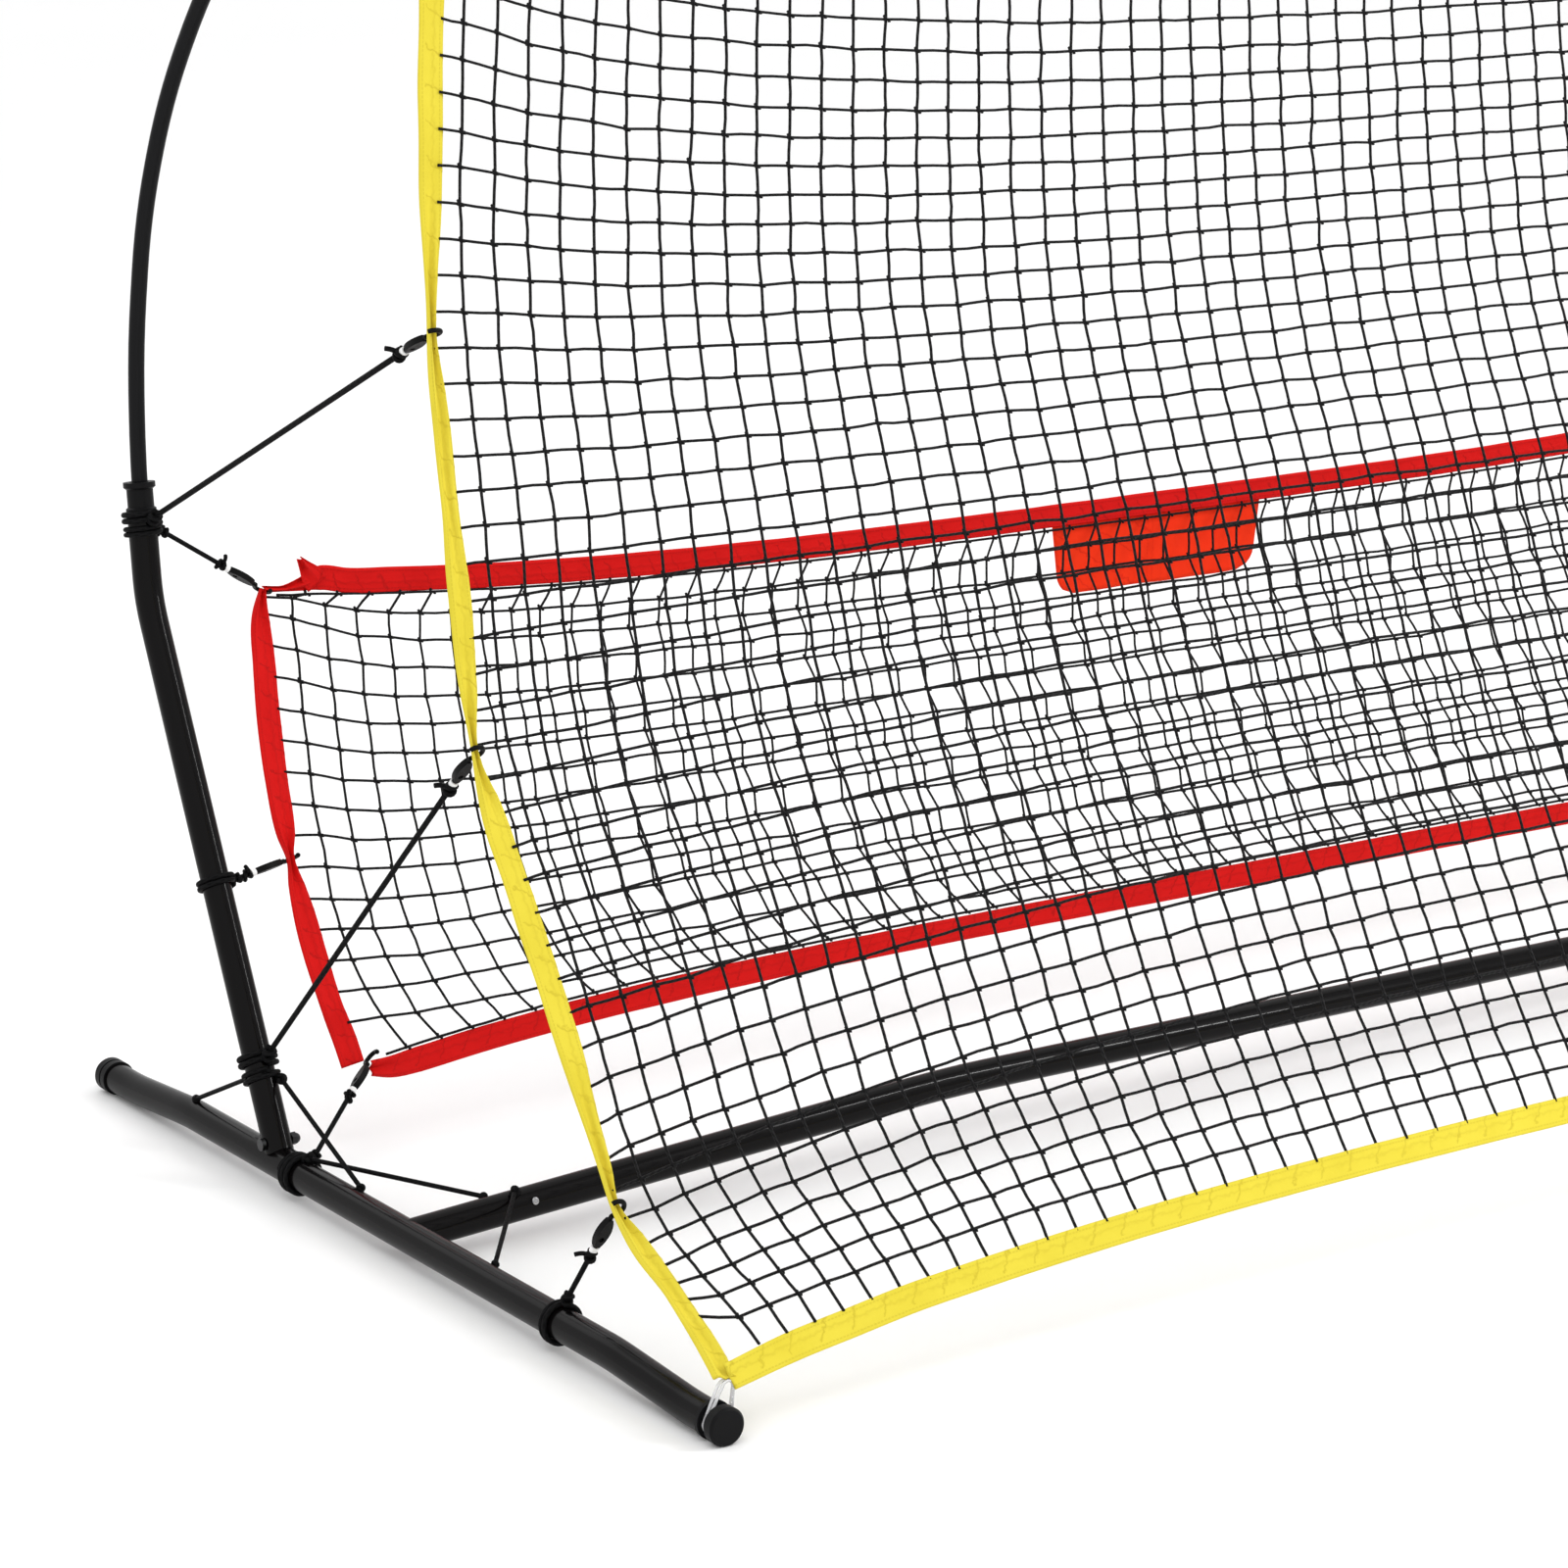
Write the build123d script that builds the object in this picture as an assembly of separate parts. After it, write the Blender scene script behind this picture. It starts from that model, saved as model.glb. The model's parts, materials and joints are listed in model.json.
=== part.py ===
from build123d import *
import math
import os

os.makedirs("parts", exist_ok=True)

# Units are millimetres. +X is to the right, +Y to the rear, +Z up.
# The origin is on the ground, in the middle of the base.

# ---- driving dimensions ----
TUBE_R = 15.0            # steel tube outer radius
TUBE_WALL = 1.5
UPRIGHT_R = 14.0         # the uprights are a size smaller
HALF_SPAN = 1237.0       # centre plane to the axis of each side tube
TUBE_END = 545.0         # end of the bare side tube
END_Z = 16.4             # tube axis height at the capped ends
SIDE_Z = 24.5            # tube axis height along the raised middle
CAP_R = 17.0
FIT = 0.05               # gap between pieces that slide together

BAR_Y = -43.0            # crossbar
BAR_Z = 62.0
BAR_BEND_X = 633.0
STUB_END_X = 1077.0      # where the crossbar leaves its stub
INSERT_X = 1137.0        # end of the reduced part inside the stub
BUTTON_X = 1112.0
BUTTON_R = 3.6
BUTTON_TILT = 20.0       # degrees above the horizontal, facing forwards
BUTTON_TRAVEL = 3.5
BUTTON_FOOT = 9.2        # inner face of the button, from the tube's axis

FOOT_Y = 197.0           # foot of the upright on the side tube
BEND = Vector(0, 440.0, 525.0)
UPRIGHT_TOP = Vector(0, 452.5, 634.0)   # top of the collar
STUB_HEIGHT = 130.0
BOLT_S = 22.0            # bolt height along the leaning upright
BOLT_R = 3.0
COLLAR_H = 24.0          # the collar stands this far above the upright's end
POLE_R = 7.8

CORD_R = 2.4             # bungee and guy cord
THICK_CORD_R = 2.8       # the two long bungees
LOOP_R = 1.5             # clear corner loops
TAPE_W = 25.0            # hem tape
TAPE_T = 2.4
NET_T = 2.4
HEM_GAP = 14.5           # hem centre line to the edge of the netting

HOOK_LEN = 42.0          # hook's blunt end to the middle of its bight
HOOK_W = 13.0
HOOK_T = 6.0
HOOK_WIRE_R = 2.2
HOOK_BIGHT_R = 8.2

FLAP_W = 280.0
FLAP_TOP = 474.0
FLAP_BOTTOM = 404.0
FLAP_Y = 457.0
FLAP_T = 1.6

# Pole route from inside the upright to the tip: (distance from centre plane, y, z).
POLE_ROUTE = [
    (1237, 447, 572), (1237, 454, 668), (1235, 454, 770), (1229, 441, 893), (1220, 406, 1003),
    (1209, 346, 1104), (1192, 256, 1213), (1170, 144, 1335), (1145, 22, 1464)]

# Netting of the front net, from top to bottom: edge (x, y, z) and middle (y, z).
FRONT_LEVELS = [
    ((1108, 19, 1417), (-96, 1297)),
    ((1144, 5, 1120), (-122, 1040)),
    ((1171, -33, 839), (-172, 797)),
    ((1174, -66, 680), (-235, 655)),
    ((1180, -111, 482), (-310, 480)),
    ((1184, -240, 295), (-395, 318)),
    ((1190, -354, 136), (-470, 195)),
    ((1203, -543, 74), (-527, 117))]
# Netting of the rear net.
REAR_LEVELS = [
    ((1096, 447, 512), (450, 472)),
    ((1113, 395, 404), (418, 385)),
    ((1130, 330, 280), (362, 290)),
    ((1131, 281, 190), (300, 195)),
    ((1100, 239, 98), (240, 130))]
EDGE_POWER = 3.4         # how sharply the rows turn up towards the edges

# Hem tape stations: (distance from centre plane, y, z, width, thickness).
FRONT_SIDE_HEM = [
    (1126, 19, 1432, 12, 4), (1134, 17, 1395, 25, 2.4), (1162, 5, 1120, 25, 2.4),
    (1184, -24, 890, 20, 2.4), (1190, -33, 839, 7, 5), (1190, -42, 790, 20, 2.4),
    (1192, -66, 680, 25, 2.4), (1197, -100, 530, 20, 2.4), (1199, -111, 482, 7, 5),
    (1199, -132, 438, 20, 2.4), (1202, -240, 295, 25, 2.4), (1207, -332, 168, 18, 2.4),
    (1209, -354, 136, 7, 5), (1211, -385, 121, 18, 2.4), (1218, -465, 91, 25, 2.4),
    (1226, -551, 62, 14, 4)]
REAR_SIDE_HEM = [
    (1111, 448, 520, 6, 4), (1116, 443, 500, 15, 2.4), (1127, 417, 445, 25, 2.4),
    (1142, 372, 356, 25, 2.4), (1148, 342, 301, 18, 2.4), (1150, 330, 280, 7, 5),
    (1151, 317, 257, 18, 2.4), (1150, 281, 190, 25, 2.4), (1146, 256, 142, 24, 2.4),
    (1136, 245, 118, 16, 2.4), (1118, 236, 98, 6, 4)]


# ---- helpers ----
def unit(v):
    return Vector(v).normalized()


def smooth_path(points):
    """Straight runs joined by the largest tangent arcs that the runs allow."""
    radii = []
    for before, here, after in zip(points, points[1:], points[2:]):
        first = here - before
        second = after - here
        half_turn = math.radians(first.get_angle(second)) / 2
        radii.append(0.45 * min(first.length, second.length) / math.tan(half_turn))
    return FilletPolyline(*points, radius=radii)


def swept(path, profile):
    return sweep(Plane(origin=path @ 0, z_dir=path % 0) * profile, path=path)


def rod(start, end, radius):
    line = end - start
    return Plane(origin=start, z_dir=line) * extrude(Circle(radius), line.length)


def pipe(start, end, outer, inner):
    line = end - start
    return Plane(origin=start, z_dir=line) * extrude(Circle(outer) - Circle(inner), line.length)


def ring(centre, axis, around, wire):
    """A loop of cord round a tube."""
    return Plane(origin=centre, z_dir=axis) * Torus(around, wire)


def ball(centre, direction, radius):
    """A sphere whose poles lie along a direction."""
    return Plane(origin=centre, z_dir=direction) * Sphere(radius)


def from_axis(centre, axis, target, distance):
    """The point beside a tube's axis, on the side that faces the target."""
    away = target - centre
    away = away - axis * away.dot(axis)
    return centre + unit(away) * distance


def write(name, shape):
    shape.label = name
    export_step(shape, "parts/" + name + ".step")


def ribbon(stations, width_dir):
    """A closed strip through rectangles set square to its path."""
    sections = []
    last = len(stations) - 1
    for i, (point, width, thick) in enumerate(stations):
        tangent = stations[min(i + 1, last)][0] - stations[max(i - 1, 0)][0]
        across = width_dir - unit(tangent) * width_dir.dot(unit(tangent))
        frame = Plane(origin=point, x_dir=across, z_dir=tangent)
        sections.append(frame * Rectangle(width, thick))
    return loft(sections, ruled=True)


def sheet_point(level, u):
    (edge_x, edge_y, edge_z), (mid_y, mid_z) = level
    blend = abs(u) ** EDGE_POWER
    return Vector(u * edge_x, mid_y + (edge_y - mid_y) * blend, mid_z + (edge_z - mid_z) * blend)


def net_sheet(levels):
    """The netting as one thin curved sheet."""
    steps = 8
    grid = [[sheet_point(level, 2 * i / steps - 1) for i in range(steps + 1)] for level in levels]
    return Solid.thicken(Face.make_surface_from_array_of_points(grid), NET_T)


# ---- base frame ----
def side_tube(x):
    route = [(-TUBE_END, END_Z), (-515, END_Z), (-395, SIDE_Z), (385, SIDE_Z), (505, END_Z),
             (TUBE_END, END_Z)]
    path = FilletPolyline(*[(x, y, z) for y, z in route], radius=400)
    return swept(path, Circle(TUBE_R) - Circle(TUBE_R - TUBE_WALL))


def turned_cap(x, y_start, direction, outline):
    """A cap turned about the tube's axis, with a flat where it rests on the ground."""
    profile = make_face(Polyline(*[(r, s) for s, r in outline], close=True))
    body = revolve(Plane.XZ * profile, Axis.Z)
    along = Plane(origin=(x, y_start, END_Z), x_dir=(1, 0, 0), z_dir=(0, direction, 0))
    return along * body - Pos(x, y_start, -50) * Box(80, 200, 100)


def rear_cap(x):
    outline = [(-16, 0), (-16, 13.4), (0, 13.4), (0, CAP_R), (8, CAP_R), (8, 16.0), (10.5, 16.0),
               (10.5, CAP_R), (19, CAP_R), (22.5, 15.2), (24.5, 11.5), (25, 7), (25, 0)]
    return turned_cap(x, TUBE_END, 1, outline)


def front_cap(x):
    outline = [(-16, 0), (-16, 13.4), (0, 13.4), (0, CAP_R), (4.5, CAP_R), (4.5, 11), (12.5, 11),
               (12.5, 16.2), (14, CAP_R), (22.5, CAP_R), (25, 14.8), (25, 0)]
    return turned_cap(x, -TUBE_END, -1, outline)


def bar_point(x):
    """A point on the crossbar's axis, on its sloping end."""
    rise = (BAR_Z - SIDE_Z) / (HALF_SPAN - BAR_BEND_X)
    return Vector(x, BAR_Y, SIDE_Z + (HALF_SPAN - abs(x)) * rise)


BUTTON_DIR = Vector(0, -math.cos(math.radians(BUTTON_TILT)), math.sin(math.radians(BUTTON_TILT)))


def button_hole(side, radius):
    seat = bar_point(side * BUTTON_X)
    return rod(seat + BUTTON_DIR * 6, seat + BUTTON_DIR * 22, radius)


def crossbar_stub(side):
    body = pipe(bar_point(side * HALF_SPAN), bar_point(side * STUB_END_X), TUBE_R, TUBE_R - TUBE_WALL)
    x = side * HALF_SPAN
    body -= rod(Vector(x, BAR_Y - 40, SIDE_Z), Vector(x, BAR_Y + 40, SIDE_Z), TUBE_R + FIT)
    return body - button_hole(side, BUTTON_R + 0.1)


def crossbar():
    ends = [bar_point(-STUB_END_X), Vector(-BAR_BEND_X, BAR_Y, BAR_Z)]
    ends += [Vector(BAR_BEND_X, BAR_Y, BAR_Z), bar_point(STUB_END_X)]
    body = swept(FilletPolyline(*ends, radius=1500), Circle(TUBE_R) - Circle(TUBE_R - TUBE_WALL))
    reduced = TUBE_R - TUBE_WALL - FIT
    for side in (-1, 1):
        body += pipe(bar_point(side * INSERT_X), bar_point(side * 1062), reduced, reduced - TUBE_WALL)
        body += pipe(bar_point(side * 1075), bar_point(side * 1066), TUBE_R - 0.5, reduced - TUBE_WALL)
        body -= button_hole(side, BUTTON_R + 0.1)
    return body


def snap_button(side):
    seat = bar_point(side * BUTTON_X)
    body = rod(seat + BUTTON_DIR * 10.2, seat + BUTTON_DIR * 17.5, BUTTON_R)
    body = fillet(body.faces().sort_by_distance(seat + BUTTON_DIR * 30)[0].edges(), 1.2)
    return body + rod(seat + BUTTON_DIR * BUTTON_FOOT, seat + BUTTON_DIR * 10.4, BUTTON_R + 1.2)


def leaf_spring(side):
    """A V of spring steel inside the crossbar, with its free leg below the button."""
    seat = bar_point(side * BUTTON_X)
    along = unit(bar_point(side * 1000) - bar_point(side * 1100))
    leg = BUTTON_FOOT - BUTTON_TRAVEL - 0.5
    legs = [seat + along * -12 + BUTTON_DIR * leg, seat + along * 8 + BUTTON_DIR * leg,
            seat + along * 30 + BUTTON_DIR * 0.5, seat + along * 8 + BUTTON_DIR * -8.0,
            seat + along * -12 + BUTTON_DIR * -10.2]
    path = FilletPolyline(*legs, radius=3.0)
    profile = Plane(origin=path @ 0, x_dir=along.cross(BUTTON_DIR), z_dir=path % 0) * Rectangle(8, 0.8)
    return sweep(profile, path=path)


LEAN = unit(BEND - Vector(0, FOOT_Y, SIDE_Z))
TOP_DIR = unit(UPRIGHT_TOP - BEND)


def foot_point(x, height):
    return Vector(x, FOOT_Y, SIDE_Z) + LEAN * height


def base_bracket(x):
    """A saddle on the side tube, with the stub that the upright slides over."""
    tube = Vector(x, FOOT_Y, SIDE_Z)
    saddle = pipe(tube - Vector(0, 22, 0), tube + Vector(0, 42, 0), TUBE_R + 2.6, TUBE_R + FIT)
    saddle = saddle & Pos(x, FOOT_Y, SIDE_Z + 54) * Box(60, 120, 100)
    inner = UPRIGHT_R - TUBE_WALL - FIT
    stub = pipe(foot_point(x, 8), foot_point(x, STUB_HEIGHT), inner, inner - TUBE_WALL)
    stub -= rod(tube - Vector(0, 60, 0), tube + Vector(0, 60, 0), TUBE_R + FIT)
    bolt = foot_point(x, BOLT_S)
    return saddle + stub - rod(bolt - Vector(30, 0, 0), bolt + Vector(30, 0, 0), BOLT_R + 0.1)


def upright(x):
    middle = Vector(x, 0, 0)
    end = UPRIGHT_TOP - TOP_DIR * COLLAR_H
    path = FilletPolyline(foot_point(x, 8), BEND + middle, end + middle, radius=130)
    body = swept(path, Circle(UPRIGHT_R) - Circle(UPRIGHT_R - TUBE_WALL))
    tube = Vector(x, FOOT_Y, SIDE_Z)
    body -= rod(tube - Vector(0, 60, 0), tube + Vector(0, 60, 0), TUBE_R + 3.0)
    bolt = foot_point(x, BOLT_S)
    return body - rod(bolt - Vector(30, 0, 0), bolt + Vector(30, 0, 0), BOLT_R + 0.1)


def clamp_bolt(x, side):
    """Pan-head bolt from the outer side, with a domed nut on the inner side."""
    centre = foot_point(x, BOLT_S)
    out = Vector(side, 0, 0)
    head_seat = centre + out * (UPRIGHT_R + 0.1)
    nut_seat = centre - out * (UPRIGHT_R + 0.1)
    bolt = rod(nut_seat - out * 6, head_seat + out * 4, BOLT_R)
    bolt += rod(head_seat, head_seat + out * 4, 6.0)
    nut = Plane(origin=nut_seat, z_dir=-out) * extrude(RegularPolygon(6.5, 6), 5)
    nut += ball(nut_seat - out * 5, out, 5.2)
    nut -= rod(nut_seat + out * 1, nut_seat - out * 6.1, BOLT_R + 0.05)
    return Compound(children=[bolt, nut])


# ---- poles ----
def collar(x):
    """A plastic plug in the upright's end, with a shoulder and a flanged neck round the pole."""
    bore = POLE_R + 1.5
    plug = UPRIGHT_R - TUBE_WALL - FIT
    outline = [(bore, -56), (plug, -56), (plug, -COLLAR_H), (UPRIGHT_R + 0.6, -COLLAR_H),
               (UPRIGHT_R + 0.6, -21.5), (12.7, -20), (12.7, -3), (15.4, -1), (15.4, 4), (bore, 4)]
    body = revolve(Plane.XZ * make_face(Polyline(*outline, close=True)), Axis.Z)
    return Plane(origin=UPRIGHT_TOP + Vector(x, 0, 0), z_dir=TOP_DIR) * body


def pole_points(side):
    return [Vector(side * x, y, z) for x, y, z in POLE_ROUTE]


def pole(side):
    path = smooth_path(pole_points(side))
    return swept(path, Circle(POLE_R))


def pole_end(side):
    points = pole_points(side)
    return points[-1], unit(points[-1] - points[-2])


def pole_tip(side):
    end, direction = pole_end(side)
    body = rod(end - direction * 28, end + direction * 9, POLE_R + 2.2)
    body = fillet(body.faces().sort_by_distance(end + direction * 60)[0].edges(), 4.0)
    body += rod(end - direction * 28, end - direction * 24, POLE_R + 4.0)
    return body - rod(end - direction * 40, end, POLE_R + FIT)


# ---- nets ----
def side_hem(stations, side):
    places = [(Vector(side * x, y, z), width, thick) for x, y, z, width, thick in stations]
    return ribbon(places, Vector(1, 0, 0))


def cross_hem(level, lift, shift):
    """Top or bottom tape, beside the first or last row of the netting."""
    places = []
    steps = 16
    for i in range(steps + 1):
        point = sheet_point(level, 2 * i / steps - 1) + Vector(0, shift, lift)
        places.append((point, TAPE_W, TAPE_T))
    return ribbon(places, Vector(0, shift, lift))


def label_flap():
    height = FLAP_TOP - FLAP_BOTTOM
    outline = Rectangle(FLAP_W, height)
    outline = fillet(outline.vertices().group_by(Axis.Y)[0], 22)
    centre = Vector(0, FLAP_Y, (FLAP_TOP + FLAP_BOTTOM) / 2)
    return Plane(origin=centre, x_dir=(1, 0, 0), z_dir=(0, -1, 0)) * extrude(outline, FLAP_T)


# ---- cords ----
def hook_frame(start, hem, hem_dir):
    """The hook's own plane: x runs towards the hem, and z follows the hem."""
    along = unit(hem - start)
    across = hem_dir - along * hem_dir.dot(along)
    return Plane(origin=hem - along * HOOK_LEN, x_dir=along, z_dir=across)


def hook(frame):
    leaf = ThreePointArc((0, 2.5), (14, HOOK_W / 2), (30, 2.2))
    back = ThreePointArc((30, -2.2), (14, -HOOK_W / 2), (0, -2.5))
    sides = [Line((30, 2.2), (30, -2.2)), Line((0, -2.5), (0, 2.5))]
    face = make_face(leaf + sides[0] + back + sides[1]) - Pos(9, 0) * Circle(2.6)
    body = extrude(face, HOOK_T / 2, both=True)
    bight = CenterArc((HOOK_LEN, 0), HOOK_BIGHT_R, 180, -230)
    wire = sweep(Plane(origin=bight @ 0, z_dir=bight % 0) * Circle(HOOK_WIRE_R), path=bight)
    neck = Plane.YZ * Pos(0, 0, 26) * extrude(Circle(HOOK_WIRE_R), HOOK_LEN - HOOK_BIGHT_R - 26)
    return frame * (body + neck + wire)


def stopper(frame, cord_r):
    tube = extrude(Circle(cord_r + 1.3) - Circle(cord_r + FIT), 5)
    return frame * (Pos(-6, 0, 0) * (Plane.YZ * tube))


def bungee(centre, axis, tube_r, hem, hem_dir, cord_r):
    """Loops round the tube, the stretched cord, and the knot behind the hook."""
    around = tube_r + cord_r + FIT
    start = from_axis(centre, axis, hem, around)
    frame = hook_frame(start, hem, hem_dir)
    body = rod(start, frame.origin, cord_r)
    for step in (-1, 1):
        body += ring(centre + axis * (step * cord_r * 1.1), axis, around, cord_r)
    body += ball(frame.origin - frame.x_dir * 11, frame.x_dir, cord_r + 1.7)
    return body, frame


def guy(centre, axis, tube_r, end, end_axis_point):
    """A guy cord: a loop round one tube and a knot on the other."""
    around = tube_r + CORD_R + FIT
    start = from_axis(centre, axis, end, around)
    out = unit(end - end_axis_point)
    knot = end_axis_point + out * (TUBE_R + CORD_R + 1.7)
    body = rod(start, knot, CORD_R) + ring(centre, axis, around, CORD_R)
    return body + ball(knot, knot - start, CORD_R + 1.5)


def bungee_plan(side):
    """name, point on the tube's axis, tube direction and radius, hem point, hem direction, cord radius"""
    x = side * HALF_SPAN
    along = Vector(0, 1, 0)
    top = UPRIGHT_TOP + Vector(x, 0, 0)
    front = [Vector(side * s[0], s[1], s[2]) for s in FRONT_SIDE_HEM]
    rear = [Vector(side * s[0], s[1], s[2]) for s in REAR_SIDE_HEM]

    def row(name, centre, axis, tube_r, hem, i, cord_r):
        hem_dir = unit(hem[max(i - 1, 0)] - hem[min(i + 1, len(hem) - 1)])
        return name, centre, axis, tube_r, hem[i], hem_dir, cord_r

    return [
        row("front_upper", top - TOP_DIR * 31, TOP_DIR, UPRIGHT_R, front, 4, THICK_CORD_R),
        row("front_middle", foot_point(x, 101), LEAN, UPRIGHT_R, front, 8, THICK_CORD_R),
        row("front_lower", Vector(x, -308, SIDE_Z), along, TUBE_R, front, 12, CORD_R),
        row("rear_upper", top - TOP_DIR * 43, TOP_DIR, UPRIGHT_R, rear, 0, CORD_R),
        row("rear_middle", foot_point(x, 275), LEAN, UPRIGHT_R, rear, 5, CORD_R),
        row("rear_lower", Vector(x, 166, SIDE_Z), along, TUBE_R, rear, 10, CORD_R)]


def guy_plan(side):
    x = side * HALF_SPAN
    along = Vector(0, 1, 0)
    low = foot_point(x, 88)
    lower = foot_point(x, 82)
    bar_dir = unit(bar_point(side * 1100) - bar_point(side * 1200))
    rear_end = Vector(x, 373, SIDE_Z)
    front_end = Vector(x, 60, SIDE_Z)
    bar_end = bar_point(side * 1151)
    tube_end = Vector(x, -174, SIDE_Z)
    inner = Vector(-side, 0, 0)
    up = Vector(0, 0, 1)
    return [
        guy(low, LEAN, UPRIGHT_R, rear_end + up, rear_end),
        guy(lower, LEAN, UPRIGHT_R, front_end + up + inner * 0.6, front_end),
        guy(Vector(x, 156, SIDE_Z), along, TUBE_R, bar_end + up + along, bar_end),
        guy(bar_point(side * 1125), bar_dir, TUBE_R, tube_end + up * 0.7 + inner, tube_end)]


def corner_loop(side):
    """Clear elastic loop from the front cap's groove up to the net's corner."""
    centre = Vector(side * HALF_SPAN, -TUBE_END - 8.5, END_Z)
    around = 11 + LOOP_R + FIT
    plane = Plane(origin=centre, x_dir=(1, 0, 0), z_dir=(0, -1, 0))
    height = 36.0
    legs = [Pos(x, 0, 0) * (Plane.XZ * Pos(0, 0, -height) * extrude(Circle(LOOP_R), height))
            for x in (-around, around)]
    low = CenterArc((0, 0), around, 180, 180)
    high = CenterArc((0, height), around, 0, 180)
    arcs = [sweep(Plane(origin=a @ 0, z_dir=a % 0) * Circle(LOOP_R), path=a) for a in (low, high)]
    return plane * (arcs[0] + arcs[1] + legs[0] + legs[1])


def tip_loop(side):
    """Cord loop round the pole, below its tip cap, that carries the net's top corner."""
    end, direction = pole_end(side)
    centre = end - direction * 34
    around = POLE_R + CORD_R + FIT
    x, y, z = FRONT_SIDE_HEM[0][:3]
    corner = Vector(side * x, y, z + 5)
    start = from_axis(centre, direction, corner, around)
    return ring(centre, direction, around, CORD_R) + rod(start, corner, CORD_R)


# ---- write every piece ----
def write_side(side, word):
    x = side * HALF_SPAN
    write("side_tube_" + word, side_tube(x))
    write("rear_cap_" + word, rear_cap(x))
    write("front_cap_" + word, front_cap(x))
    write("crossbar_stub_" + word, crossbar_stub(side))
    write("snap_button_" + word, snap_button(side))
    write("leaf_spring_" + word, leaf_spring(side))
    write("base_bracket_" + word, base_bracket(x))
    write("upright_" + word, upright(x))
    write("clamp_bolt_" + word, clamp_bolt(x, side))
    write("collar_" + word, collar(x))
    write("pole_" + word, pole(side))
    write("pole_tip_" + word, pole_tip(side))
    write("front_hem_" + word, side_hem(FRONT_SIDE_HEM, side))
    write("rear_hem_" + word, side_hem(REAR_SIDE_HEM, side))
    hooks = []
    stoppers = []
    for name, centre, axis, tube_r, hem, hem_dir, cord_r in bungee_plan(side):
        body, frame = bungee(centre, axis, tube_r, hem, hem_dir, cord_r)
        write("bungee_" + name + "_" + word, body)
        hooks.append(hook(frame))
        stoppers.append(stopper(frame, cord_r))
    write("hooks_" + word, Compound(children=hooks))
    write("stoppers_" + word, Compound(children=stoppers))
    write("guy_cords_" + word, Compound(children=guy_plan(side)))
    write("corner_loop_" + word, corner_loop(side))
    write("tip_loop_" + word, tip_loop(side))


write_side(-1, "left")
write_side(1, "right")
write("crossbar", crossbar())
write("front_netting", net_sheet(FRONT_LEVELS))
write("front_hem_top", cross_hem(FRONT_LEVELS[0], HEM_GAP, 0))
write("front_hem_bottom", cross_hem(FRONT_LEVELS[-1], -12.5, -7.5))
write("rear_netting", net_sheet(REAR_LEVELS))
write("rear_hem_top", cross_hem(REAR_LEVELS[0], HEM_GAP, 0))
write("rear_hem_bottom", cross_hem(REAR_LEVELS[-1], -HEM_GAP, -3))
write("label_flap", label_flap())
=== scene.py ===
import json
import math

import bpy
import numpy as np
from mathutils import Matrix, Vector


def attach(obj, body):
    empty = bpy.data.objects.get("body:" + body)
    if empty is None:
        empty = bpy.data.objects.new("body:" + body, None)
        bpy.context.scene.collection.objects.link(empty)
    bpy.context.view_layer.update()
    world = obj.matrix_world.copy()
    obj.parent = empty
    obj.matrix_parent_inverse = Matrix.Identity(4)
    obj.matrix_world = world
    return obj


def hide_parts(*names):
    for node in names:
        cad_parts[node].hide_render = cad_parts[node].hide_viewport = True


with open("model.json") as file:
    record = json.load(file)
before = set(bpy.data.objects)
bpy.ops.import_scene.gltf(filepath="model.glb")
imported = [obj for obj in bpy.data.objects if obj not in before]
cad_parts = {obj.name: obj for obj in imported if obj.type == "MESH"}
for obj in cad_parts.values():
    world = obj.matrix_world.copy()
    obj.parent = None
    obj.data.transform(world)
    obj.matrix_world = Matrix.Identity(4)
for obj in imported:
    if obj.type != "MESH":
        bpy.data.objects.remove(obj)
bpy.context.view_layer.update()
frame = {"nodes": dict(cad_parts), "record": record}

rng = np.random.default_rng(7)

# Metres. +X is to the right, +Y to the rear and +Z up.
# The origin is on the ground in the middle of the base.

# ---- sizes shared with the CAD model ----
TUBE_R = 0.015
UPRIGHT_R = 0.014
HALF_SPAN = 1.237
TUBE_END = 0.545
END_Z = 0.0164
SIDE_Z = 0.0245
BAR_Y = -0.043
BAR_Z = 0.062
BAR_BEND_X = 0.633
FOOT_Y = 0.197
BEND = np.array([0, 0.440, 0.525])
UPRIGHT_TOP = np.array([0, 0.4525, 0.634])
POLE_R = 0.0078
TWINE_R = 0.00138
CORD_R = 0.0024
THICK_CORD_R = 0.0028
LOOP_R = 0.0015
TAPE_W = 0.025
HEM_GAP = 0.0145
HOOK_LEN = 0.042
FLAP_X = 0.004
FLAP_W = 0.290
FLAP_TOP = 0.474
FLAP_BOTTOM = 0.396
FLAP_Y = 0.457
SAG_POWER = 12
# Spacing of the netting's marks along the hem tapes: side hems of each net, then top and bottom hems.
FRONT_SIDE_PITCH = 0.0322
REAR_SIDE_PITCH = 0.0265
COLUMN_PITCH = 0.0345
POLE_END = [(1.17, 0.144, 1.335), (1.145, 0.022, 1.464)]
FRONT_LEVELS = [
    ((1.108, 0.019, 1.417), (-0.096, 1.297)), ((1.144, 0.005, 1.12), (-0.122, 1.04)),
    ((1.171, -0.033, 0.839), (-0.172, 0.797)), ((1.174, -0.066, 0.68), (-0.235, 0.655)),
    ((1.18, -0.111, 0.482), (-0.31, 0.48)), ((1.184, -0.24, 0.295), (-0.395, 0.318)),
    ((1.19, -0.354, 0.136), (-0.47, 0.195)), ((1.203, -0.543, 0.074), (-0.527, 0.117))]
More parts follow.
